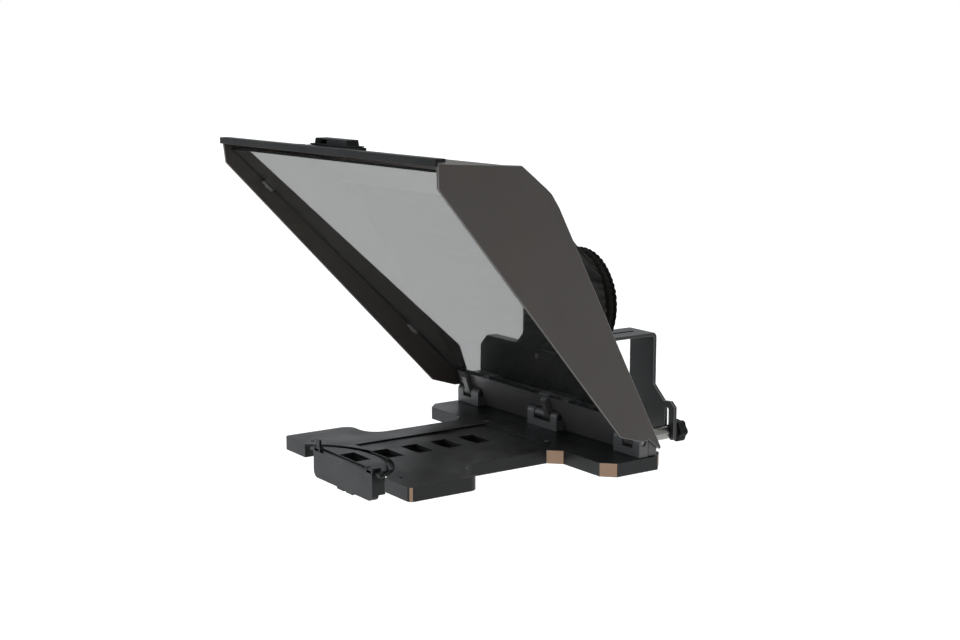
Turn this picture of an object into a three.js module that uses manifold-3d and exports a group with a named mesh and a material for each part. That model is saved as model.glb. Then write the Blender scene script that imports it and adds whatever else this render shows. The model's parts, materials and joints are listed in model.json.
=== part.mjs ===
// A fold-down teleprompter: hollow base with a sliding tablet jaw, mirror hood on three hinges, and a
// camera riser on two rods. Millimetres, +Z up, +Y from the reader towards the camera, X = 0 in the
// plane of symmetry.
import * as THREE from 'three';
import { mergeVertices } from 'three/addons/utils/BufferGeometryUtils.js';
import Module from 'manifold-3d';

const wasm = await Module();
wasm.setup();

// ---- Driving dimensions. Inside the model, heights are measured from the deck, the base's flat top. ----
const GAP = 0.3; // clearance between pieces that rest on each other
const WALL = 2.5; // moulded wall of the base
const ORIGIN_Y = 31; // the tripod plate's centre, which becomes the part's origin
const ORIGIN_DROP = 29; // the tripod plate's underside, below the deck

const BASE_H = 13.5;
const FRONT_Y = -235;
const FRONT_HALF = 120;
const FRONT_WING_REAR_Y = -158;
const SPINE_HALF = 79;
const REAR_WING_Y = -38.7;
const REAR_HALF = 159;
const REAR_Y = 36;
const CORNER = 12; // chamfer of the rear wing's corners
const BAY_HALF = 76.3; // opening in the front skirt for the jaw
const BAY_REAR_Y = -196;

const HEAD_R = 83; // plan radius of the jaw's head
const HEAD_CENTRE_Y = -281.5;
const HEAD_TOP = 0.4;
const HEAD_GAP = 8; // the bay behind the head is this much larger all round
const HEAD_FRONT_Y = -234;
const NECK_HALF = 44;
const NECK_TOP = -3.7;
const NECK_T = 5.9;
const POCKET_FLOOR = 1; // left under the neck's windows, which are blind
const STRIP_HALF = 47.5;
const STRIP_TOP = -1.4;
const STRIP_T = 2;
const STRIP_FRONT_Y = -193;
const WINDOW_X = -4;
const WINDOW_W = 32;
const WINDOW_L = 18;
const WINDOW_PITCH = 34.2;
const WINDOW_FIRST_Y = -182.6; // centre of the strip's front window
const HEAD_WINDOW_Y = -219.2;
const HEAD_WINDOW_L = 16.5;
const LIP_HALF = 56.3;
const LIP_FRONT_Y = -236.4;
const LIP_REAR_Y = -229;
const LIP_END_Y = -222; // the lip's two ends reach back this far under the head
const LIP_WALL = 2.7;
const LIP_TOP = -1.1;
const LIP_BOTTOM = -28;
const STOP_Y = -233.9; // pivot of the tablet stops
const STOP_Z = 1.9;
const STOP_X = 50.2;

const HINGE_Y = 8;
const HINGE_Z = 14.3;
const PIN_R = 2.5;
const PIN_HOLE_R = 3;
const EAR_R = 5.5;
const BRIDGE_TOP = 8.2;

const GLASS_TILT = THREE.MathUtils.degToRad(45.37); // glass from horizontal
const GLASS_OFFSET = 24.44; // distance of the glass's front face from the deck line X = Z = 0
const FLARE = THREE.MathUtils.degToRad(6.06); // each side panel leans out by this much
const PANEL_X0 = 160.16; // outer face of a side panel where the slope coordinate is 0
const PANEL_T = 2.8;
const GLASS_T = 3;
const GLASS_LOW = 26.2;
const GLASS_HIGH = 380;
const RIM_HALF = 202.3;
const RIM_TOP = 300;
const RIM_UNDER = 296.8;
const LATCH_HALF = 30.5;

const ROD_R = 7.5;
const ROD_X = 42.4;
const ROD_Z = -15;
const RISER_Y = 137;
const RISER_T = 4;
const RISER_TOP = 90;
const BEND_R = 5.5;
const CAMERA_Y = 104; // middle of the shelf's slot
const SCREW_Y = 86; // where the camera screw stands

const SOCK_Z = 129;
const SOCK_R = 56;
const SOCK_FRONT_Y = 38;
const SOCK_REAR_Y = 50;

// ---- Materials ----
const looks = {
  plastic: { color: 0x2a2a2c, roughness: 0.42, metalness: 0 },
  panel: { color: 0x4a4744, roughness: 0.5, metalness: 0.35 },
  glass: { color: 0xb9bcbe, roughness: 0.04, metalness: 0.9 },
  fabric: { color: 0x181716, roughness: 0.95, metalness: 0 },
  bracket: { color: 0x3c3c3e, roughness: 0.5, metalness: 0.6 },
  steel: { color: 0xc4c0ba, roughness: 0.25, metalness: 1 },
  knob: { color: 0x141414, roughness: 0.6, metalness: 0 },
};

// ---- Solids ----
function solid(geometry) {
  const bare = geometry.clone();
  bare.deleteAttribute('normal');
  bare.deleteAttribute('uv');
  const merged = mergeVertices(bare, 1e-4);
  return new wasm.Manifold(new wasm.Mesh({
    numProp: 3,
    vertProperties: new Float32Array(merged.attributes.position.array),
    triVerts: new Uint32Array(merged.index.array),
  }));
}

function geometryOf(body) {
  const mesh = body.getMesh();
  const geometry = new THREE.BufferGeometry();
  geometry.setAttribute('position', new THREE.BufferAttribute(new Float32Array(mesh.vertProperties), 3));
  geometry.setIndex(new THREE.BufferAttribute(new Uint32Array(mesh.triVerts), 1));
  return geometry;
}

const cut = (body, ...tools) => geometryOf(tools.reduce((a, t) => a.subtract(solid(t)), solid(body)));
const join = (body, ...more) => geometryOf(more.reduce((a, t) => a.add(solid(t)), solid(body)));
const common = (body, limit) => geometryOf(solid(body).intersect(solid(limit)));

function box(x0, x1, y0, y1, z0, z1) {
  const shape = new THREE.BoxGeometry(x1 - x0, y1 - y0, z1 - z0);
  return shape.translate((x0 + x1) / 2, (y0 + y1) / 2, (z0 + z1) / 2);
}

function extrude(outline, depth) {
  const shape = new THREE.Shape(outline.map(([a, b]) => new THREE.Vector2(a, b)));
  return new THREE.ExtrudeGeometry(shape, { depth, bevelEnabled: false });
}

// An (x, y) outline made into a plate from z0 to z1.
const plate = (outline, z0, z1) => extrude(outline, z1 - z0).translate(0, 0, z0);

// An (x, z) outline made into a wall from y0 to y1.
function wall(outline, y0, y1) {
  return extrude(outline, y1 - y0).rotateX(Math.PI / 2).translate(0, y1, 0);
}

// A (y, z) profile made into a slab from x0 to x1.
function slab(profile, x0, x1) {
  const turn = new THREE.Matrix4().makeBasis(
    new THREE.Vector3(0, 1, 0), new THREE.Vector3(0, 0, 1), new THREE.Vector3(1, 0, 0));
  return extrude(profile, x1 - x0).applyMatrix4(turn).translate(x0, 0, 0);
}

function rod(radius, from, to, sides = 24) {
  const a = new THREE.Vector3(...from);
  const b = new THREE.Vector3(...to);
  const shape = new THREE.CylinderGeometry(radius, radius, a.distanceTo(b), sides);
  const along = b.clone().sub(a).normalize();
  const turn = new THREE.Quaternion().setFromUnitVectors(new THREE.Vector3(0, 1, 0), along);
  return shape.applyQuaternion(turn).translate(...a.add(b).multiplyScalar(0.5).toArray());
}

function washer(rIn, rOut, thickness) {
  const h = thickness / 2;
  const ring = [[rIn, -h], [rOut, -h], [rOut, h], [rIn, h], [rIn, -h]];
  return new THREE.LatheGeometry(ring.map(([r, y]) => new THREE.Vector2(r, y)), 24); // its axis is Y
}

function arc(cx, cy, r, fromDeg, toDeg, steps) {
  return Array.from({ length: steps + 1 }, (_, i) => {
    const a = THREE.MathUtils.degToRad(fromDeg + ((toDeg - fromDeg) * i) / steps);
    return [cx + r * Math.cos(a), cy + r * Math.sin(a)];
  });
}

// The right half of an outline, from front to rear, completed with its mirror image.
const mirrored = (half) => [...half, ...half.map(([x, y]) => [-x, y]).reverse()];

const root = new THREE.Group();
const model = new THREE.Group();
model.position.set(0, -ORIGIN_Y, ORIGIN_DROP);
root.add(model);

function add(name, look, geometry, parent = model) {
  geometry.computeVertexNormals();
  const mesh = new THREE.Mesh(geometry, new THREE.MeshStandardMaterial(looks[look]));
  mesh.name = name;
  parent.add(mesh);
  return mesh;
}

const sides = [['left', -1], ['right', 1]];

// ---- Base ----
function baseShell() {
  const sCurve = 20;
  const outline = mirrored([
    ...arc(FRONT_HALF - 5, FRONT_Y + 5, 5, -90, 0, 5),
    ...arc(FRONT_HALF - 11, FRONT_WING_REAR_Y - 11, 11, 0, 90, 6),
    ...arc(SPINE_HALF + sCurve, FRONT_WING_REAR_Y + sCurve, sCurve, -90, -180, 6),
    [SPINE_HALF, REAR_WING_Y - CORNER],
    [SPINE_HALF + CORNER, REAR_WING_Y],
    [REAR_HALF - CORNER, REAR_WING_Y],
    [REAR_HALF, REAR_WING_Y + CORNER],
    [REAR_HALF, REAR_Y - CORNER],
    [REAR_HALF - CORNER, REAR_Y],
  ]);
  const rearCavity = mirrored([
    [REAR_HALF - CORNER - 1, REAR_WING_Y + WALL],
    [REAR_HALF - WALL, REAR_WING_Y + CORNER + 1],
    [REAR_HALF - WALL, REAR_Y - CORNER - 1],
    [REAR_HALF - CORNER - 1, REAR_Y - WALL],
  ]);
  const under = -BASE_H - 1;
  const channelRear = -62;
  const [stripSide, stripRear] = [STRIP_HALF + 0.4, REAR_WING_Y + 1.7];
  const tools = [
    plate(rearCavity, under, -WALL),
    box(-BAY_HALF, BAY_HALF, FRONT_Y - 5, BAY_REAR_Y, under, -WALL),
    rod(HEAD_R + HEAD_GAP, [0, HEAD_CENTRE_Y - 2, -4], [0, HEAD_CENTRE_Y - 2, 2], 96),
    box(-NECK_HALF - 0.6, NECK_HALF + 0.6, BAY_REAR_Y - 1, channelRear, NECK_TOP - NECK_T - 0.4, 1 - WALL),
    box(-stripSide, stripSide, STRIP_FRONT_Y - 1, stripRear, STRIP_TOP - STRIP_T - GAP, 1),
  ];
  for (const [, s] of sides) {
    const xs = (a, b) => [Math.min(s * a, s * b), Math.max(s * a, s * b)];
    tools.push(
      box(...xs(BAY_HALF + WALL, FRONT_HALF - WALL), FRONT_Y + 3, FRONT_WING_REAR_Y - 3, under, -WALL),
      box(...xs(STRIP_HALF + 2.4, SPINE_HALF - WALL), -190, REAR_WING_Y - 16, under, -WALL),
      rod(ROD_R + 0.7, [s * ROD_X, REAR_Y - 6, ROD_Z], [s * ROD_X, REAR_Y + 2, ROD_Z]),
      rod(2, [s * 84, -222, -4], [s * 84, -222, 1], 12),
    );
  }
  return cut(plate(outline, -BASE_H, 0), ...tools);
}

function windowCuts(count, firstY, width, length, z0, z1) {
  return Array.from({ length: count }, (_, i) => {
    const y = firstY + i * WINDOW_PITCH;
    return box(WINDOW_X - width / 2, WINDOW_X + width / 2, y - length / 2, y + length / 2, z0, z1);
  });
}

add('base_shell', 'plastic', baseShell());
const strip = box(-STRIP_HALF, STRIP_HALF, STRIP_FRONT_Y, REAR_WING_Y + 1.4,
  STRIP_TOP - STRIP_T, STRIP_TOP);
add('window_strip', 'plastic',
  cut(strip, ...windowCuts(4, WINDOW_FIRST_Y, WINDOW_W, WINDOW_L, -9, 1)));
for (const [side, s] of sides) {
  add(`deck_screw_${side}`, 'steel', rod(3.2, [s * 52.5, -30, GAP], [s * 52.5, -30, GAP + 1], 16));
}

// ---- Hinge brackets: two ears joined by a bridge, with a pin through both ----
const earProfile = [
  [HINGE_Y - EAR_R, GAP],
  [HINGE_Y + EAR_R, GAP],
  ...arc(HINGE_Y, HINGE_Z, EAR_R, 0, 180, 12),
];
const hinges = {
  left: [-156.5, -146, -131, -117],
  centre: [-25, -14, 14, 25],
  right: [117, 130, 146, 156.5],
};
for (const [name, [a, b, c, d]] of Object.entries(hinges)) {
  const bridge = box(a, d, HINGE_Y - EAR_R, HINGE_Y + EAR_R, GAP, BRIDGE_TOP);
  const hole = rod(PIN_HOLE_R, [a - 1, HINGE_Y, HINGE_Z], [d + 1, HINGE_Y, HINGE_Z], 20);
  const body = join(slab(earProfile, a, b), slab(earProfile, c, d), bridge);
  add(`hinge_bracket_${name}`, 'plastic', cut(body, hole));
  add(`hinge_pin_${name}`, 'steel',
    rod(PIN_R, [a + 1.5, HINGE_Y, HINGE_Z], [d - 1.5, HINGE_Y, HINGE_Z], 20));
}

// ---- Tablet jaw: neck, head, lip, two flip stops and a release button ----
const neck = box(-NECK_HALF, NECK_HALF, LIP_REAR_Y + GAP, -66, NECK_TOP - NECK_T, NECK_TOP);
const pocketBottom = NECK_TOP - NECK_T + POCKET_FLOOR;
add('jaw_neck', 'plastic', cut(neck,
  ...windowCuts(1, HEAD_WINDOW_Y, WINDOW_W, HEAD_WINDOW_L, pocketBottom, 1),
  ...windowCuts(4, WINDOW_FIRST_Y, WINDOW_W, WINDOW_L, pocketBottom, 1)));

// The head is part of a disc with a rounded rim, cut off straight behind the lip.
function jawHead() {
  const bottom = NECK_TOP + GAP;
  const rim = [
    [0, bottom], [HEAD_R, bottom], [HEAD_R, -2.2], [HEAD_R - 0.5, -1.1], [HEAD_R - 1.4, -0.3],
    [HEAD_R - 2.6, 0.2], [HEAD_R - 4, HEAD_TOP], [0, HEAD_TOP],
  ].map(([r, z]) => new THREE.Vector2(r, z));
  const disc = new THREE.LatheGeometry(rim, 120).rotateX(Math.PI / 2).translate(0, HEAD_CENTRE_Y, 0);
  const behindLip = box(-HEAD_R, HEAD_R, HEAD_FRONT_Y, HEAD_CENTRE_Y + HEAD_R + 1, bottom - 1, 2);
  return cut(common(disc, behindLip),
    box(-LIP_HALF - 0.4, LIP_HALF + 0.4, HEAD_FRONT_Y - 1, LIP_REAR_Y + 0.4, bottom - 1, 2),
    ...windowCuts(1, HEAD_WINDOW_Y, WINDOW_W, HEAD_WINDOW_L, -9, 2));
}
add('jaw_head', 'plastic', jawHead());

function jawLip() {
  const round = 7;
  const face = [
    [LIP_HALF, LIP_TOP],
    [-LIP_HALF, LIP_TOP],
    ...arc(-LIP_HALF + round, LIP_BOTTOM + round, round, 180, 270, 5),
    ...arc(LIP_HALF - round, LIP_BOTTOM + round, round, 270, 360, 5),
  ];
  const inner = [STOP_X - 6, STOP_X - 4.4];
  const outer = [STOP_X + 4.4, LIP_HALF];
  const lugs = [inner, outer].flatMap(([x0, x1]) => [[x0, x1], [-x1, -x0]])
    .map(([x0, x1]) => box(x0, x1, STOP_Y - 2.2, STOP_Y + 2.2, -3, STOP_Z + 2));
  const ends = [-LIP_HALF, LIP_HALF - LIP_WALL]
    .map((x) => box(x, x + LIP_WALL, LIP_REAR_Y - 1, LIP_END_Y, -22.5, -4));
  const body = join(wall(face, LIP_FRONT_Y, LIP_REAR_Y), ...ends, ...lugs);
  const open = 1;
  return cut(body,
    box(-LIP_HALF + LIP_WALL, -20, LIP_FRONT_Y + LIP_WALL, LIP_REAR_Y + open, -22.5, -5),
    box(20, LIP_HALF - LIP_WALL, LIP_FRONT_Y + LIP_WALL, LIP_REAR_Y + open, -22.5, -5),
    box(-17, 17, LIP_FRONT_Y + 2, LIP_REAR_Y - 1.6, LIP_BOTTOM - open, -20),
    rod(1.2, [-LIP_HALF - 1, STOP_Y, STOP_Z], [LIP_HALF + 1, STOP_Y, STOP_Z], 12));
}
add('jaw_lip', 'plastic', jawLip());
const release = box(-15, 15, LIP_FRONT_Y + 2.4, LIP_REAR_Y - 2, -31.5, -24);
add('jaw_release', 'plastic', cut(release, box(-1.6, 1.6, LIP_FRONT_Y, LIP_REAR_Y, -33, -29)));

for (const [side, s] of sides) {
  const [x0, x1] = [s * STOP_X - 4, s * STOP_X + 4];
  const flap = side === 'left'
    ? box(x0, x1, STOP_Y - 1.2, STOP_Y + 1.2, STOP_Z, STOP_Z + 8.6)
    : box(x0, x1, STOP_Y, STOP_Y + 9, STOP_Z - 1.2, STOP_Z + 1.2);
  const barrel = rod(1.8, [x0, STOP_Y, STOP_Z], [x1, STOP_Y, STOP_Z], 16);
  const pinHole = rod(1.2, [x0 - 1, STOP_Y, STOP_Z], [x1 + 1, STOP_Y, STOP_Z], 12);
  add(`tablet_stop_${side}`, 'plastic', cut(join(barrel, flap), pinHole));
  add(`stop_pin_${side}`, 'steel',
    rod(0.9, [s * STOP_X - 5.8, STOP_Y, STOP_Z], [s * STOP_X + 5.8, STOP_Y, STOP_Z], 12));
}

// ---- Hood. Its slanted group has X across, Y straight back from the glass and Z up the slope. ----
const slope = new THREE.Group();
slope.rotation.x = Math.PI / 2 - GLASS_TILT;
slope.position.set(0, GLASS_OFFSET * Math.sin(GLASS_TILT), GLASS_OFFSET * Math.cos(GLASS_TILT));
model.add(slope);
const panelHalf = (s) => PANEL_X0 + s * Math.tan(FLARE);

// A trapezium in X and slope that follows the flared side panels, inset from their outer faces.
function flared(sLow, sHigh, inset) {
  const low = panelHalf(sLow) - inset;
  const high = panelHalf(sHigh) - inset;
  return [[-low, sLow], [low, sLow], [high, sHigh], [-high, sHigh]];
}

add('glass', 'glass', wall(flared(GLASS_LOW, GLASS_HIGH, PANEL_T + 0.7), 0, GLASS_T), slope);

// Outline of a side panel: (distance behind the glass, distance up the slope).
const panelOutline = [
  [1.1, 391.1], [-13.2, 374], [-25.3, 38], [-11.6, 12.5], [-3.6, 4.6], [-1.2, -14],
  [1.6, -14], [56.7, 221.6], [66.5, 264], [68.4, 279], [67.4, 288], [61.6, 323],
].map(([g, s]) => [g, s / Math.cos(FLARE)]);
for (const [side, s] of sides) {
  const panel = add(`side_panel_${side}`, 'panel',
    slab(panelOutline, s > 0 ? -PANEL_T : 0, s > 0 ? 0 : PANEL_T), slope);
  panel.position.x = s * PANEL_X0;
  panel.rotation.y = s * FLARE;
  for (const [level, at] of [['lower', 98.5], ['upper', 327]]) {
    const inner = panelHalf(at) - PANEL_T - 1.3;
    const [x0, x1] = s > 0 ? [inner - 6, inner] : [-inner, -inner + 6];
    const clip = join(box(x0, x1, -2.4, -GAP, at - 7, at + 7), rod(2, [s * (inner - 3), -3.6, at],
      [s * (inner - 3), -1, at], 12));
    add(`glass_clip_${side}_${level}`, 'steel', clip, slope);
  }
}

const topCover = slab([
  [1.6, 389.5], [60.6, 322.8], [66.4, 287.6], [67.4, 279.2], [65.4, 263.6],
  [63.2, 264], [65, 279.2], [64.2, 287.4], [58.5, 322.2], [0.8, 386.9],
], -215, 215);
add('top_cover', 'panel', common(topCover, wall(flared(250, 395, PANEL_T + 0.5), -20, 100)), slope);

// The lower frame is a beam behind the hinges: its front leans back, and each hinge ear has a pocket in it.
function lowerFrame() {
  const profile = [[0.8, 35.4], [13.9, 0.5], [24.2, 0.5], [25.6, 8.5], [21.8, 15], [5.4, 39.4]];
  const beam = slab(profile, -158.5, 158.5);
  const pockets = Object.values(hinges).map(([a, , , d]) => join(
    rod(EAR_R + 1.2, [a - 1, HINGE_Y, HINGE_Z], [d + 1, HINGE_Y, HINGE_Z], 32),
    box(a - 1, d + 1, HINGE_Y - EAR_R, HINGE_Y + EAR_R + 1.2, -5, HINGE_Z)));
  const limit = slab([[-1, -1], [30, -1], [30, 50], [-1, 50]], -155.6, 155.6);
  return cut(common(beam, limit), ...pockets);
}
add('lower_frame', 'plastic', lowerFrame());

// Each arm hooks down from the lower frame's front to the right end of a barrel on the hinge axis.
for (const [name, [, b, c]] of Object.entries(hinges)) {
  const [x0, x1] = [b + 1, c - 1];
  const hook = slab([
    [0.2, 34.6], [-3.4, 31.2], [2.2, 14], [8, 9.2], [14.2, 12], [14.2, 17], [7.6, 21.6], [5.2, 22.6],
  ], x1 - 8.5, x1);
  const body = join(hook, rod(EAR_R - 0.5, [x0, HINGE_Y, HINGE_Z], [x1, HINGE_Y, HINGE_Z], 24));
  const frameFront = slab([[0.8 - GAP, 35.4], [13.9 - GAP, 0.5], [40, 0.5], [40, 60], [0.8 - GAP, 60]],
    x0 - 1, x1 + 1);
  const nearAxis = rod(EAR_R + 0.9, [x0 - 1, HINGE_Y, HINGE_Z], [x1 + 1, HINGE_Y, HINGE_Z], 32);
  const clear = cut(frameFront, nearAxis);
  const hole = rod(PIN_HOLE_R, [x0 - 1, HINGE_Y, HINGE_Z], [x1 + 1, HINGE_Y, HINGE_Z], 20);
  add(`hinge_arm_${name}`, 'plastic', cut(body, clear, hole));
}

const rimProfile = [
  [-259, 293.5], [-256.9, 293.5], [-256.9, RIM_UNDER], [-249, RIM_UNDER], [-249, RIM_TOP], [-259, RIM_TOP],
];
const latchSeat = box(-LATCH_HALF - 9, LATCH_HALF + 9, -250, -228, RIM_UNDER, RIM_TOP);
add('front_rim', 'panel', join(slab(rimProfile, -RIM_HALF, RIM_HALF), latchSeat));

const latchEnds = [0.6, 5.2].map((drop) => [LATCH_HALF - 1.6 + drop * 0.3, RIM_TOP + 6.8 - drop + 0.6]);
const latchFace = mirrored([[LATCH_HALF, RIM_TOP + 1], ...latchEnds.reverse()]);
const latchBody = join(
  box(-LATCH_HALF - 7.5, LATCH_HALF + 7.5, -244, -229.5, RIM_TOP + GAP, RIM_TOP + 1.4),
  wall(latchFace, -243, -230.5));
const latchRecess = box(-LATCH_HALF + 2.5, -8, -244, -237, RIM_TOP + 1.8, RIM_TOP + 5.6);
add('glass_latch_base', 'plastic', cut(latchBody, latchRecess));
const sliderRibs = Array.from({ length: 4 }, (_, i) => {
  const x = -LATCH_HALF + 4.6 + i * 2.4;
  return box(x, x + 1, -245, -242.9, RIM_TOP + 1, RIM_TOP + 6);
});
add('glass_latch_slider', 'plastic',
  cut(box(-LATCH_HALF + 3, -LATCH_HALF + 13, -243.6, -237.3, RIM_TOP + 2.1, RIM_TOP + 5.3), ...sliderRibs));

// ---- Fabric: a shroud from the panels' rear edges to a round collar, then a lens sock with a hem ----
function shroud() {
  const around = 40;
  const along = 4;
  const thick = 2;
  const low = { y: 17.5, z: 22.5, half: 155 };
  const high = { y: -122, z: 256, half: 181.5 };
  function point(i, t, inset) {
    const a = (2 * Math.PI * i) / around;
    const [c, d] = [Math.cos(a), Math.sin(a)];
    const reach = 1 / Math.max(Math.abs(c), Math.abs(d));
    const up = (1 + d * reach) / 2;
    const clamped = Math.min(Math.max(up, inset / 140), 1 - inset / 140);
    const half = low.half + (high.half - low.half) * clamped - inset;
    const square = [
      c * reach * half,
      low.y + (high.y - low.y) * clamped,
      low.z + (high.z - low.z) * clamped,
    ];
    const round = [c * (SOCK_R + 2 - inset), SOCK_FRONT_Y - GAP, SOCK_Z + d * (SOCK_R + 2 - inset)];
    return square.map((v, k) => v + (round[k] - v) * t);
  }
  const positions = [];
  const index = [];
  for (const inset of [0, thick]) {
    for (let j = 0; j <= along; j += 1) {
      for (let i = 0; i < around; i += 1) positions.push(...point(i, j / along, inset));
    }
  }
  const at = (layer, j, i) => (layer * (along + 1) + j) * around + (i % around);
  const quad = (a, b, c, d) => index.push(a, b, c, a, c, d);
  for (let i = 0; i < around; i += 1) {
    for (let j = 0; j < along; j += 1) {
      quad(at(0, j, i), at(0, j + 1, i), at(0, j + 1, i + 1), at(0, j, i + 1));
      quad(at(1, j, i), at(1, j, i + 1), at(1, j + 1, i + 1), at(1, j + 1, i));
    }
    quad(at(0, along, i), at(1, along, i), at(1, along, i + 1), at(0, along, i + 1));
    quad(at(0, 0, i), at(0, 0, i + 1), at(1, 0, i + 1), at(1, 0, i));
  }
  const geometry = new THREE.BufferGeometry();
  geometry.setAttribute('position', new THREE.Float32BufferAttribute(positions, 3));
  geometry.setIndex(index);
  return geometry;
}
add('fabric_shroud', 'fabric', shroud());

const sockWall = [
  [SOCK_R + 2, 0], [SOCK_R + 2.8, 4], [SOCK_R + 1.4, 9], [SOCK_R - 0.6, SOCK_REAR_Y - SOCK_FRONT_Y],
  [SOCK_R - 2.6, SOCK_REAR_Y - SOCK_FRONT_Y], [SOCK_R - 0.6, 9], [SOCK_R + 0.8, 4], [SOCK_R, 0],
  [SOCK_R + 2, 0],
].map(([r, y]) => new THREE.Vector2(r, y));
add('lens_sock', 'fabric', new THREE.LatheGeometry(sockWall, 40).translate(0, SOCK_FRONT_Y, SOCK_Z));
const hem = arc(SOCK_R - 2, 0, 3, 0, 360, 8).map(([r, y]) => new THREE.Vector2(r, y));
add('sock_hem', 'fabric', new THREE.LatheGeometry(hem, 40).translate(0, SOCK_REAR_Y + 3 + GAP, SOCK_Z));

// ---- Rods, clamp block and tripod plate ----
const block = box(-57, 57, 8, 31, -26, -WALL - 0.4);
const bores = [-1, 1].map((s) => rod(ROD_R + 0.2, [s * ROD_X, 0, ROD_Z], [s * ROD_X, 40, ROD_Z]));
add('rod_block', 'bracket', cut(block, ...bores));
const plateHoles = [rod(3.2, [0, 20, -40], [0, 20, 0], 20), rod(4.8, [0, 42, -40], [0, 42, 0], 20)];
const boltHoles = [-1, 1].map((s) => rod(3.4, [s * 17, 20, -40], [s * 17, 20, 0], 16));
const flatPlate = box(-25, 25, 10, 52, -ORIGIN_DROP, -26 - GAP);
add('tripod_plate', 'bracket', cut(flatPlate, ...plateHoles, ...boltHoles));
for (const [side, s] of sides) {
  add(`plate_bolt_${side}`, 'steel', rod(3, [s * 17, 20, -ORIGIN_DROP + 0.4], [s * 17, 20, -26 - GAP], 16));
  const bar = rod(ROD_R, [s * ROD_X, -30, ROD_Z], [s * ROD_X, RISER_Y - 0.5, ROD_Z], 32);
  const tapped = rod(PIN_HOLE_R, [s * ROD_X, RISER_Y - 15, ROD_Z], [s * ROD_X, RISER_Y, ROD_Z], 16);
  add(`rod_${side}`, 'steel', cut(bar, tapped));
}

// A hand knob: a grip with scallops and a plain stud, its axis along +Y and its seat at y = 0.
function starKnob(radius, height, lobes, studR, studLength) {
  const outline = Array.from({ length: lobes * 6 }, (_, i) => {
    const a = (2 * Math.PI * i) / (lobes * 6);
    const r = radius * (0.92 + 0.08 * Math.cos(lobes * a));
    return [r * Math.cos(a), r * Math.sin(a)];
  });
  return join(wall(outline, 4, height), rod(radius * 0.62, [0, 0, 0], [0, 5, 0]),
    rod(studR, [0, -studLength, 0], [0, 1, 0], 16));
}

for (const [side, s] of sides) {
  const lock = add(`rod_lock_knob_${side}`, 'knob', starKnob(9, 15, 6, 2, 0.2));
  lock.position.set(s * 57.6, 20, ROD_Z);
  lock.rotation.z = (-s * Math.PI) / 2;
  const knob = add(`riser_knob_${side}`, 'knob', starKnob(12.4, 15, 6, 2.4, 17));
  knob.position.set(s * ROD_X, RISER_Y + RISER_T + 1.9, ROD_Z);
  const ring = add(`riser_washer_${side}`, 'steel', washer(3.2, 7.6, 1.3));
  ring.position.set(s * ROD_X, RISER_Y + RISER_T + 0.95, ROD_Z);
}

// ---- Camera riser: one bent plate with two height slots and a camera slot ----
function riserBracket() {
  const neckBottom = 33.5;
  const rear = RISER_Y + RISER_T;
  const foot = mirrored([[54.5, -21], [54.5, 14], [48, 19.5], [37, 18.5], [20, neckBottom]]);
  const bend = slab([
    [72, RISER_TOP - RISER_T], [72, RISER_TOP],
    ...arc(rear - BEND_R, RISER_TOP - BEND_R, BEND_R, 90, 0, 6),
    [rear, neckBottom - 1], [RISER_Y, neckBottom - 1],
    ...arc(RISER_Y - 1.5, RISER_TOP - RISER_T - 1.5, 1.5, 0, 90, 3),
  ], -20, 20);
  const slots = [-1, 1].map((s) => wall([
    ...arc(s * ROD_X, 9.75, 2.75, 0, 180, 8),
    ...arc(s * ROD_X, ROD_Z, 2.75, 180, 360, 8),
  ], RISER_Y - 1, RISER_Y + RISER_T + 1));
  const cameraSlot = plate([
    ...arc(0, CAMERA_Y + 18.7, 3.3, 0, 180, 8),
    ...arc(0, CAMERA_Y - 18.7, 3.3, 180, 360, 8),
  ], RISER_TOP - RISER_T - 1, RISER_TOP + 1);
  return cut(join(wall(foot, RISER_Y, rear), bend), ...slots, cameraSlot);
}
add('riser_bracket', 'bracket', riserBracket());
const underShelf = RISER_TOP - RISER_T;
const cameraWasher = add('camera_washer', 'steel', washer(3.3, 8, 1.3).rotateX(Math.PI / 2));
cameraWasher.position.set(0, SCREW_Y, underShelf - 0.95);
const cameraScrew = add('camera_screw', 'knob', starKnob(9, 9, 9, 2.9, 12.5).rotateX(-Math.PI / 2));
cameraScrew.position.set(0, SCREW_Y, underShelf - 1.9);

export default root;
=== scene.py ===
# Looks of the teleprompter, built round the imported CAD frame.
# Metres, +Z up, +Y from the reader to the camera.
import json
import math

import bmesh
import bpy
import numpy as np
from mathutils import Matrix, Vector


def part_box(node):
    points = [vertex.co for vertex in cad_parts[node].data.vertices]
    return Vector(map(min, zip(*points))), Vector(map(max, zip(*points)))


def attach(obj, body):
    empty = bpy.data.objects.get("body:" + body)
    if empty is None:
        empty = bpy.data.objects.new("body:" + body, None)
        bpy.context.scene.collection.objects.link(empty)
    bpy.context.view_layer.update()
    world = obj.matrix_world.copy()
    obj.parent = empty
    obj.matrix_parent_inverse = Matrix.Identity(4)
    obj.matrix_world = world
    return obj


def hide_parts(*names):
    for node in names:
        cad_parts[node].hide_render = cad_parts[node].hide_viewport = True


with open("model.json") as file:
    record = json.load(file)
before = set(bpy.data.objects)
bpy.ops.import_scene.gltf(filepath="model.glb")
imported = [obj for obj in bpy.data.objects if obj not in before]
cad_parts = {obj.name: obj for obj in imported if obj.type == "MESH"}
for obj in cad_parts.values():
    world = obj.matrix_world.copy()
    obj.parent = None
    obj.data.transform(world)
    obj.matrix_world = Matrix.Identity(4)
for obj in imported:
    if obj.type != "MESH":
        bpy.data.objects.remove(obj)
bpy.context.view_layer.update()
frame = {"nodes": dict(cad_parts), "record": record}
NODES = frame["nodes"]
BODY_OF = {n: b for b, names in frame["record"]["behaviour"]["bodies"].items() for n in names}
MM = 0.001
ZERO_Y, ZERO_Z = -0.031, 0.029  # where the CAD source has its own zero, in this frame
scene = bpy.context.scene


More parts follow.
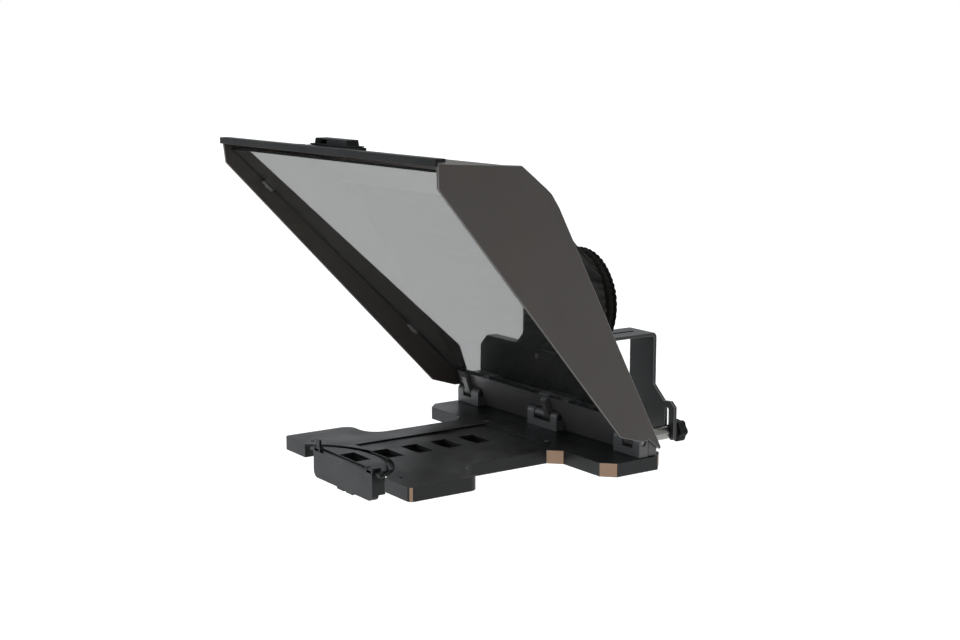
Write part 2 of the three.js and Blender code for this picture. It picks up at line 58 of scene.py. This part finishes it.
def new_object(name, data):
    obj = bpy.data.objects.new(name, data)
    scene.collection.objects.link(obj)
    return obj


# ---- Camera ----
CAMERA_AT = (1.2916, -0.9982, 0.4164)
CAMERA_TILT, CAMERA_HEADING = 80.37, 55.38
CAMERA_LENS, CAMERA_SENSOR = 59.6, 36
CAMERA_FAR = 60

camera = new_object("camera", bpy.data.cameras.new("camera"))
camera.location = CAMERA_AT
camera.rotation_euler = (math.radians(CAMERA_TILT), 0, math.radians(CAMERA_HEADING))
camera.data.lens = CAMERA_LENS
camera.data.sensor_width = CAMERA_SENSOR
camera.data.clip_end = CAMERA_FAR
scene.camera = camera

# ---- Light, floor and world ----
scene.view_settings.view_transform = "Standard"
scene.view_settings.look = "None"
scene.view_settings.exposure = 0
scene.view_settings.gamma = 1

SKY_BELOW = 0.3
SKY_LOW, SKY_MID, SKY_TOP = 0.68, 0.52, 0.8
# Heights run from 0, straight down, through 0.5, level, to 1, straight up.
SKY_STOPS = ((0.0, SKY_BELOW), (0.47, SKY_BELOW), (0.56, SKY_LOW), (0.8, SKY_MID), (1.0, SKY_TOP))
SKY_RED, SKY_BLUE = 0.97, 1.02  # against green


def studio_sky():
    """A plain white backdrop; light and reflections come from a soft grey room."""
    world = bpy.data.worlds.new("studio")
    scene.world = world
    world.use_nodes = True
    tree = world.node_tree
    background = tree.nodes["Background"]
    backdrop = tree.nodes.new("ShaderNodeBackground")
    backdrop.inputs["Color"].default_value = (1, 1, 1, 1)
    coordinate = tree.nodes.new("ShaderNodeTexCoord")
    axes = tree.nodes.new("ShaderNodeSeparateXYZ")
    ramp = tree.nodes.new("ShaderNodeValToRGB")
    rays = tree.nodes.new("ShaderNodeLightPath")
    mix = tree.nodes.new("ShaderNodeMixShader")
    while len(ramp.color_ramp.elements) < len(SKY_STOPS):
        ramp.color_ramp.elements.new(0.5)
    for element, (height, level) in zip(ramp.color_ramp.elements, SKY_STOPS):
        element.position = height
        element.color = (level * SKY_RED, level, level * SKY_BLUE, 1)
    half = tree.nodes.new("ShaderNodeMapRange")
    half.inputs["From Min"].default_value = -1
    tree.links.new(coordinate.outputs["Generated"], axes.inputs["Vector"])
    tree.links.new(axes.outputs["Z"], half.inputs["Value"])
    tree.links.new(half.outputs["Result"], ramp.inputs["Fac"])
    tree.links.new(ramp.outputs["Color"], background.inputs["Color"])
    tree.links.new(rays.outputs["Is Camera Ray"], mix.inputs["Fac"])
    tree.links.new(background.outputs["Background"], mix.inputs[1])
    tree.links.new(backdrop.outputs["Background"], mix.inputs[2])
    tree.links.new(mix.outputs["Shader"], tree.nodes["World Output"].inputs["Surface"])


studio_sky()

SUN_STRENGTH, SUN_SPREAD = 1.9, 80
FILL_AT, FILL_TOWARDS = (-2.6, -1.8, 1.1), (0, -0.1, 0.1)
FILL_SIZE, FILL_POWER, FILL_COLOUR = (1.6, 1.4), 8, (0.8, 0.92, 1.0)

sun = bpy.data.lights.new("overhead", "SUN")
sun.energy = SUN_STRENGTH
sun.angle = math.radians(SUN_SPREAD)
new_object("overhead", sun)

fill = bpy.data.lights.new("left_fill", "AREA")
fill.shape = "RECTANGLE"
fill.size, fill.size_y = FILL_SIZE
fill.energy = FILL_POWER
fill.color = FILL_COLOUR
fill_lamp = new_object("left_fill", fill)
fill_lamp.location = FILL_AT
aim = Vector(FILL_TOWARDS) - Vector(FILL_AT)
fill_lamp.rotation_euler = aim.to_track_quat("-Z", "Y").to_euler()

FLOOR_Z, FLOOR_REACH = -0.3, 14.0
FLOOR_PALE, FLOOR_ROUGH = 0.98, 0.9

floor_mesh = bpy.data.meshes.new("floor")
floor_corners = [(x * FLOOR_REACH, y * FLOOR_REACH, FLOOR_Z)
                 for x, y in ((-1, -1), (1, -1), (1, 1), (-1, 1))]
floor_mesh.from_pydata(floor_corners, [], [(0, 1, 2, 3)])
floor = new_object("floor", floor_mesh)
floor_look = bpy.data.materials.new("floor")
floor_look.use_nodes = True
floor_shader = floor_look.node_tree.nodes["Principled BSDF"]
floor_shader.inputs["Base Color"].default_value = (FLOOR_PALE, FLOOR_PALE, FLOOR_PALE, 1)
floor_shader.inputs["Roughness"].default_value = FLOOR_ROUGH
floor_shader.inputs["Specular IOR Level"].default_value = 0.0
floor_mesh.materials.append(floor_look)


# ---- Materials ----
class Look:
    """A node material on one Principled shader, with coordinates in the object's own metres."""

    def __init__(self, name, colour, roughness, metallic=0.0, specular=0.5):
        self.material = bpy.data.materials.new(name)
        self.material.use_nodes = True
        self.tree = self.material.node_tree
        self.shader = self.tree.nodes["Principled BSDF"]
        self.colour = colour
        self.set("Base Color", (*colour, 1))
        self.set("Roughness", roughness)
        self.set("Metallic", metallic)
        self.set("Specular IOR Level", specular)
        self.where = self.tree.nodes.new("ShaderNodeTexCoord").outputs["Object"]
        self.material.diffuse_color = (*colour, 1)

    def set(self, socket, value):
        self.shader.inputs[socket].default_value = value
        return self

    def link(self, a, b):
        self.tree.links.new(a, b)

    def stretched(self, scale):
        node = self.tree.nodes.new("ShaderNodeMapping")
        node.inputs["Scale"].default_value = scale
        self.link(self.where, node.inputs["Vector"])
        return node.outputs["Vector"]

    def noise(self, scale, detail=3.0, vector=None):
        node = self.tree.nodes.new("ShaderNodeTexNoise")
        node.inputs["Scale"].default_value = scale
        node.inputs["Detail"].default_value = detail
        node.inputs["Roughness"].default_value = 0.55
        self.link(vector or self.where, node.inputs["Vector"])
        return node.outputs["Fac"]

    def ranged(self, value, low, high, out_low, out_high):
        node = self.tree.nodes.new("ShaderNodeMapRange")
        sockets = ("From Min", "From Max", "To Min", "To Max")
        for socket, number in zip(sockets, (low, high, out_low, out_high)):
            node.inputs[socket].default_value = number
        self.link(value, node.inputs["Value"])
        return node.outputs["Result"]

    def math(self, operation, a, b):
        node = self.tree.nodes.new("ShaderNodeMath")
        node.operation = operation
        for socket, value in zip(node.inputs, (a, b)):
            if isinstance(value, (int, float)):
                socket.default_value = value
            else:
                self.link(value, socket)
        return node.outputs["Value"]

    def mottled(self, scale, amount):
        """The colour wanders between a darker and a paler shade of itself."""
        mix = self.tree.nodes.new("ShaderNodeMix")
        mix.data_type = "RGBA"
        low = tuple(c * (1 - amount) for c in self.colour)
        high = tuple(min(1, c * (1 + amount)) for c in self.colour)
        mix.inputs["A"].default_value = (*low, 1)
        mix.inputs["B"].default_value = (*high, 1)
        self.link(self.ranged(self.noise(scale), 0.3, 0.7, 0, 1), mix.inputs["Factor"])
        self.link(mix.outputs["Result"], self.shader.inputs["Base Color"])
        return self

    def worn(self, scale, low, high, vector=None):
        """The roughness wanders between two values."""
        patches = self.ranged(self.noise(scale, vector=vector), 0.35, 0.65, low, high)
        self.link(patches, self.shader.inputs["Roughness"])
        return self

    def bumped(self, height, strength, distance):
        node = self.tree.nodes.new("ShaderNodeBump")
        node.inputs["Strength"].default_value = strength
        node.inputs["Distance"].default_value = distance
        self.link(height, node.inputs["Height"])
        self.link(node.outputs["Normal"], self.shader.inputs["Normal"])
        return self


def plastic_look(name, colour, low, high, grain=2600, strength=0.16, specular=0.5):
    """Moulded plastic with a fine grain; low and high are its roughness."""
    look = Look(name, colour, low, specular=specular)
    look.mottled(scale=14, amount=0.12).worn(22, low, high)
    return look.bumped(look.noise(grain, detail=2), strength, distance=0.00012)


def coated_look(name, colour, low, high, specular=0.5):
    """Powder-coated sheet: fine orange peel over faint cloudy variation."""
    look = Look(name, colour, low, specular=specular)
    look.mottled(scale=9, amount=0.08).worn(12, low, high)
    return look.bumped(look.noise(1500, detail=4), strength=0.12, distance=0.00015)


def brushed_look(name, colour, low, high):
    """Metal with fine lines that run along Y."""
    look = Look(name, colour, low, metallic=1.0)
    lines = look.stretched((60, 3, 60))
    look.mottled(scale=40, amount=0.1).worn(30, low, high, lines)
    return look.bumped(look.noise(24, detail=3, vector=lines), strength=0.08, distance=0.0001)


def cloth_look(name, colour):
    """A close weave: two crossed sets of threads with fuzz over them."""
    look = Look(name, colour, 0.95, specular=0.05)
    look.set("Sheen Weight", 0.06).set("Sheen Roughness", 0.5)
    look.set("Sheen Tint", (0.3, 0.28, 0.26, 1))
    waves = []
    for direction in ("X", "Z"):
        wave = look.tree.nodes.new("ShaderNodeTexWave")
        wave.bands_direction = direction
        wave.inputs["Scale"].default_value = 420
        wave.inputs["Distortion"].default_value = 1.2
        wave.inputs["Detail"].default_value = 2
        look.link(look.where, wave.inputs["Vector"])
        waves.append(wave.outputs["Fac"])
    threads = look.math("MULTIPLY", look.math("ADD", *waves), 0.5)
    fuzz = look.math("ADD", threads, look.math("MULTIPLY", look.noise(2200), 0.5))
    look.mottled(scale=60, amount=0.25)
    return look.bumped(fuzz, strength=0.35, distance=0.0004)


# Each row: name, colour, lowest roughness, highest roughness.
LOOKS = {
    "base": plastic_look("base_plastic", (0.008, 0.0082, 0.0088), 0.28, 0.4, specular=0.24),
    "panel": coated_look("panel_coating", (0.0325, 0.0262, 0.0222), 0.42, 0.52, specular=0.38),
    # painted highlight: the panels' rounded edges are paler, partly the bright cut edge of the
    # sheet and partly a painted highlight
    "panel_edge_highlight": coated_look("panel_edge_highlight", (0.13, 0.125, 0.12), 0.3, 0.4),
    "rim": coated_look("rim_coating", (0.006, 0.006, 0.006), 0.42, 0.52, specular=0.12),
    "bracket": coated_look("bracket_coating", (0.0115, 0.0115, 0.0125), 0.38, 0.48, specular=0.36),
    # painted highlight: the brackets' rounded edges are paler
    "bracket_edge_highlight": coated_look("bracket_edge_highlight", (0.08, 0.08, 0.08), 0.3, 0.4),
    "hinge": plastic_look("hinge_plastic", (0.066, 0.065, 0.066), 0.34, 0.46),
    "frame": plastic_look("frame_plastic", (0.06, 0.058, 0.06), 0.3, 0.42),
    "knob": plastic_look("knob_plastic", (0.004, 0.004, 0.004), 0.5, 0.65,
                         grain=1800, strength=0.3, specular=0.15),
    "steel": brushed_look("bright_steel", (0.24, 0.235, 0.22), 0.2, 0.32),
    "clip": coated_look("clip_coating", (0.11, 0.108, 0.105), 0.3, 0.4),
    "dark_steel": brushed_look("dark_steel", (0.16, 0.16, 0.165), 0.3, 0.42),
    "cloth": cloth_look("black_cloth", (0.0042, 0.0039, 0.0035)),
    "hem": cloth_look("hem_cloth", (0.0045, 0.0042, 0.004)),
    # painted reflection: a warm copper tone that stands for the reflection on the base's diagonal
    # facets
    "painted_reflection": Look("painted_copper_reflection", (0.27, 0.175, 0.115), 0.34, metallic=0.55),
    "mirror": Look("half_mirror", (0.67, 0.665, 0.66), 0.02, metallic=0.965),
    "clear": Look("clear_glass", (0.3, 0.33, 0.32), 0.03),
    "glass_edge": Look("glass_edge", (0.02, 0.026, 0.024), 0.25),
}
painted_reflection = LOOKS["painted_reflection"]
painted_reflection.mottled(scale=30, amount=0.08).worn(40, 0.3, 0.4)
painted_reflection.bumped(painted_reflection.noise(1500), strength=0.06, distance=0.0001)
LOOKS["mirror"].set("Alpha", 0.37).worn(6, 0.012, 0.03)
LOOKS["clear"].set("Alpha", 0.06).worn(6, 0.02, 0.04)
LOOKS["glass_edge"].mottled(scale=120, amount=0.2)


def paint(obj, *names):
    obj.data.materials.clear()
    for name in names:
        obj.data.materials.append(LOOKS[name].material)
    return obj


# ---- Pieces made from CAD nodes: the same shape with its edges rounded ----
SAME_POINT = 3e-6
SAME_PLANE = math.radians(0.6)
ROUNDED_FROM = math.radians(30)
SHARP_FROM = math.radians(32)
EDGE_HIGHLIGHT_LOOKS = {"panel_edge_highlight", "bracket_edge_highlight"}  # looks that the rounding itself takes: a painted highlight on the rounded edges


def apply_modifiers(obj):
    bpy.context.view_layer.update()
    evaluated = obj.evaluated_get(bpy.context.evaluated_depsgraph_get())
    made = bpy.data.meshes.new_from_object(evaluated)
    old = obj.data
    obj.modifiers.clear()
    obj.data = made
    bpy.data.meshes.remove(old)


def settle(obj, *nodes):
    """The piece rides with its first node's body and stands for all of them."""
    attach(obj, BODY_OF[nodes[0]])
    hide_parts(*nodes)
    return obj


def rounded(node, width, looks):
    """A copy of a CAD node with its sharp edges rounded to a width in millimetres."""
    name = node + "_finished"
    bm = bmesh.new()
    bm.from_mesh(NODES[node].data)
    bmesh.ops.remove_doubles(bm, verts=bm.verts, dist=SAME_POINT)
    bmesh.ops.dissolve_limit(bm, angle_limit=SAME_PLANE, verts=bm.verts, edges=bm.edges)
    for face in bm.faces:
        face.material_index = 0
    mesh = bpy.data.meshes.new(name)
    bm.to_mesh(mesh)
    bm.free()
    obj = new_object(name, mesh)
    bevel = obj.modifiers.new("round", "BEVEL")
    bevel.width = width * MM
    bevel.segments = 2
    bevel.limit_method = "ANGLE"
    bevel.angle_limit = ROUNDED_FROM
    paint(obj, *looks)
    # The rounded edges take the second look, a painted highlight.
    if looks[-1] in EDGE_HIGHLIGHT_LOOKS:
        bevel.material = 1
    apply_modifiers(obj)
    obj.data.shade_smooth()
    obj.data.set_sharp_from_angle(angle=SHARP_FROM)
    weighted = obj.modifiers.new("flat_faces", "WEIGHTED_NORMAL")
    weighted.keep_sharp = True
    apply_modifiers(obj)
    return settle(obj, node)


ROUNDED = [
    # The base's second look is the painted copper reflection on its corner facets.
    ("base_shell", 0.7, ("base", "painted_reflection")),
    ("window_strip", 0.35, ("base",)),
    ("jaw_neck", 0.35, ("base",)),
    ("jaw_head", 0.8, ("base",)),
    ("jaw_lip", 0.8, ("base",)),
    ("jaw_release", 0.7, ("base",)),
    ("tablet_stop_left", 0.4, ("base",)),
    ("tablet_stop_right", 0.4, ("base",)),
    ("lower_frame", 0.6, ("frame",)),
    ("glass_latch_base", 0.5, ("rim",)),
    ("glass_latch_slider", 0.4, ("knob",)),
    # For the brackets the second look is a painted highlight on the rounded edges.
    ("rod_block", 0.8, ("bracket", "bracket_edge_highlight")),
    ("tripod_plate", 0.8, ("bracket", "bracket_edge_highlight")),
    ("riser_bracket", 0.6, ("bracket", "bracket_edge_highlight")),
    # For the panels and top cover the second look is a painted highlight on the rounded edges.
    ("side_panel_left", 0.6, ("panel", "panel_edge_highlight")),
    ("side_panel_right", 0.6, ("panel", "panel_edge_highlight")),
    ("top_cover", 0.4, ("panel", "panel_edge_highlight")),
    ("front_rim", 0.5, ("rim",)),
    ("rod_left", 0.8, ("steel",)),
    ("rod_right", 0.8, ("steel",)),
    ("rod_lock_knob_left", 0.9, ("knob",)),
    ("rod_lock_knob_right", 0.9, ("knob",)),
    ("riser_knob_left", 1.1, ("knob",)),
    ("riser_knob_right", 1.1, ("knob",)),
    ("riser_washer_left", 0.2, ("steel",)),
    ("riser_washer_right", 0.2, ("steel",)),
    ("camera_washer", 0.2, ("steel",)),
    ("camera_screw", 0.6, ("dark_steel",)),
]
for side in ("left", "centre", "right"):
    ROUNDED += [
        (f"hinge_bracket_{side}", 0.5, ("hinge",)),
        (f"hinge_arm_{side}", 0.5, ("hinge",)),
        (f"hinge_pin_{side}", 0.4, ("dark_steel",)),
    ]
for side in ("left", "right"):
    ROUNDED += [
        (f"stop_pin_{side}", 0.15, ("dark_steel",)),
        (f"plate_bolt_{side}", 0.3, ("dark_steel",)),
        (f"deck_screw_{side}", 0.3, ("dark_steel",)),
        (f"glass_clip_{side}_lower", 0.3, ("clip",)),
        (f"glass_clip_{side}_upper", 0.3, ("clip",)),
    ]
pieces = {node: rounded(node, width, looks) for node, width, looks in ROUNDED}

# A warm copper-toned reflection is painted on the base's diagonal corner facets, picked by the way
# they face. The front corners are rounded, and on those the painted reflection is a narrow strip.
FRONT_CORNER_Y = -0.228 + ZERO_Y
OUTSIDE_X = 0.077
SMALLEST_FACET = 1.2e-5
for polygon in pieces["base_shell"].data.polygons:
    n, at = polygon.normal, polygon.center
    upright = abs(n.z) < 0.05 and abs(at.x) > OUTSIDE_X and polygon.area > SMALLEST_FACET
    front_corner = at.y < FRONT_CORNER_Y and n.y < 0
    slanted = 0.6 < abs(n.x) < 0.93 if front_corner else abs(abs(n.x) - abs(n.y)) < 0.1
    if upright and slanted:
        polygon.material_index = 1

# ---- Glass: the front face is half-mirrored, the back is clear and the rims are dark ----
MIRROR, CLEAR, EDGE = 0, 1, 2
glass = NODES["glass"]
paint(glass, "mirror", "clear", "glass_edge")
downwards = (p for p in glass.data.polygons if p.normal.y < -0.5 and p.normal.z < -0.5)
front = max(downwards, key=lambda p: p.area).normal.copy()
for polygon in glass.data.polygons:
    along = polygon.normal.dot(front)
    polygon.material_index = MIRROR if along > 0.9 else (CLEAR if along < -0.9 else EDGE)

# ---- Cloth ----
CLOTH_THICKNESS = 0.0009
SEAM = 1e-6


def grid_mesh(name, points):
    """points[j][i] becomes a mesh of quads; each row j closes on itself."""
    rows, columns = points.shape[:2]
    faces = []
    for j in range(rows - 1):
        for i in range(columns):
            k = (i + 1) % columns
            faces.append((j * columns + i, j * columns + k,
                          (j + 1) * columns + k, (j + 1) * columns + i))
    mesh = bpy.data.meshes.new(name)
    mesh.from_pydata(points.reshape(-1, 3).tolist(), [], faces)
    mesh.update()
    return mesh


def thickened(obj):
    """Gives a sheet its thickness, half on each side."""
    solidify = obj.modifiers.new("thickness", "SOLIDIFY")
    solidify.thickness = CLOTH_THICKNESS
    solidify.offset = 0
    apply_modifiers(obj)


def welded(obj):
    """Joins the first and last rows of a ring that repeats its first row."""
    bm = bmesh.new()
    bm.from_mesh(obj.data)
    bmesh.ops.remove_doubles(bm, verts=bm.verts, dist=SEAM)
    bmesh.ops.recalc_face_normals(bm, faces=bm.faces)
    bm.to_mesh(obj.data)
    bm.free()


def cloth_piece(name, points, closing, look):
    obj = new_object(name, grid_mesh(name, points))
    closing(obj)
    obj.data.shade_smooth()
    return paint(obj, look)


def closed(rings):
    """The same rows with the first one again at the end."""
    return np.concatenate([rings, rings[:1]])


def folds(angle, count, seed):
    """Uneven gathers round a ring: sharp valleys between rounded ridges, from -1 to 1."""
    rng = np.random.default_rng(seed)
    phase = np.zeros_like(angle)
    for k in range(1, 7):
        phase += rng.uniform(-1, 1) / k * np.sin(k * angle + rng.uniform(0, 2 * math.pi))
    ridge = 2 * np.abs(np.sin(0.5 * count * angle + 1.6 * phase)) ** 0.7 - 1
    size = 0.7 + 0.3 * np.sin(5 * angle + 3 * phase)
    return ridge * size


def normals_of(points):
    around = np.roll(points, -1, axis=1) - np.roll(points, 1, axis=1)
    along = np.gradient(points, axis=0)
    n = np.cross(around, along)
    return n / np.maximum(np.linalg.norm(n, axis=2, keepdims=True), 1e-12)


sock_low, sock_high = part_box("lens_sock")
hem_low, hem_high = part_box("sock_hem")
RING_Z = (sock_low.z + sock_high.z) / 2
RING_Y = sock_low.y
RING_R = 0.057
RING_OVERLAP = 0.0012
# y, z and half-width of the shroud's lower and upper edges
LOW = (0.0168 + ZERO_Y, 0.0218 + ZERO_Z, 0.1574)
HIGH = (-0.1239 + ZERO_Y, 0.2536 + ZERO_Z, 0.1848)
AROUND, ALONG = 360, 46
GATHERS, GATHER_SEED = 44, 3
SWAGS, SWAG_SEED, SWAG_DEPTH = 17, 5, 0.0036
SAG = 0.0045

# The shroud runs from a rectangle inside the panels, t = 0, to the ring of the sock, t = 1.
angle = 2 * math.pi * np.arange(AROUND) / AROUND
t = np.linspace(0, 1, ALONG)[:, None]
c, s = np.cos(angle), np.sin(angle)
stretch = 1 / np.maximum(np.abs(c), np.abs(s))
up = (1 + s * stretch) / 2
half = LOW[2] + (HIGH[2] - LOW[2]) * up
square = np.stack([
    c * stretch * half,
    LOW[0] + (HIGH[0] - LOW[0]) * up,
    LOW[1] + (HIGH[1] - LOW[1]) * up], axis=-1)
ring = np.stack([
    c * RING_R,
    np.full(AROUND, RING_Y + RING_OVERLAP),
    RING_Z + s * RING_R], axis=-1)
cloth = square[None] * (1 - t[..., None]) + ring[None] * t[..., None]
out = normals_of(cloth)
centre = cloth.mean(axis=1, keepdims=True)
if ((cloth - centre) * out).sum() < 0:
    out = -out
# The folds start smoothly at the panels and nearly stop where the ring holds them.
held = np.clip(t / 0.1, 0, 1) * (0.2 + 0.8 * np.clip((1 - t) / 0.06, 0, 1))
gather = folds(angle, GATHERS, GATHER_SEED)[None] * (0.0006 + 0.002 * t) * held
broad = folds(angle, SWAGS, SWAG_SEED)[None] * SWAG_DEPTH * np.sin(math.pi * t) ** 0.8
sag = -SAG * np.sin(math.pi * t)
cloth = cloth + out * (gather + broad + sag)[..., None]
shroud = cloth_piece("shroud_cloth", cloth, thickened, "cloth")
settle(shroud, "fabric_shroud")

# The shroud's front edge is bound with a folded tape.
TAPE_THICK, TAPE_WIDE = 0.0016, 0.0026  # half of each
TAPE_SIDES = 8
TAPE_SUNK = 0.0004
tape_section = [(TAPE_THICK * math.cos(a), TAPE_WIDE * math.sin(a))
                for a in np.linspace(0, 2 * math.pi, TAPE_SIDES + 1)[:-1]]
edge_line = square * 0.999 + ring * 0.001
edge_out = out[1]
edge_in = (ring - square) / np.linalg.norm(ring - square, axis=1, keepdims=True)
tape_points = np.stack([
    edge_line + edge_out * (a - TAPE_SUNK) + edge_in * (b + TAPE_WIDE) for a, b in tape_section])
tape = cloth_piece("shroud_binding", closed(tape_points), welded, "hem")
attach(tape, "hood")

# The lens sock: a short gathered tube.
SOCK_ROWS = 26
PUCKERS, PUCKER_SEED = 52, 11
SOCK_SHIFT = 0.0003
profile_y = np.array([-0.0025, 0.002, 0.005, 0.009, 0.0145])
profile_r = np.array([0.0556, 0.0574, 0.0583, 0.0569, 0.054])
along_sock = np.linspace(profile_y[0], profile_y[-1], SOCK_ROWS)
radius = np.interp(along_sock, profile_y, profile_r)
pucker = folds(angle, PUCKERS, PUCKER_SEED)
swell = 0.0006 + 0.0009 * np.abs(np.linspace(-1, 1, SOCK_ROWS)) ** 1.5
sock_r = radius[:, None] + pucker[None] * swell[:, None]
sock_points = np.stack([
    c[None] * sock_r,
    np.broadcast_to((sock_low.y + SOCK_SHIFT + along_sock)[:, None], sock_r.shape),
    RING_Z + s[None] * sock_r], axis=-1)
sock = cloth_piece("sock_cloth", sock_points, thickened, "cloth")
settle(sock, "lens_sock")

# Its hem is a casing over elastic, pinched at every gather.
HEM_SIDES = 20
hem_centre = (hem_low.y + hem_high.y) / 2
turn = 2 * math.pi * np.arange(HEM_SIDES) / HEM_SIDES
hem_swell = 0.00265 + 0.00035 * pucker
hem_ring = 0.0541 + 0.0004 * pucker
hem_r = hem_ring[None] + np.cos(turn)[:, None] * hem_swell[None]
hem_y = hem_centre + np.sin(turn)[:, None] * hem_swell[None]
hem_points = np.stack([c[None] * hem_r, hem_y, RING_Z + s[None] * hem_r], axis=-1)
hem = cloth_piece("sock_hem_casing", closed(hem_points), welded, "hem")
settle(hem, "sock_hem")
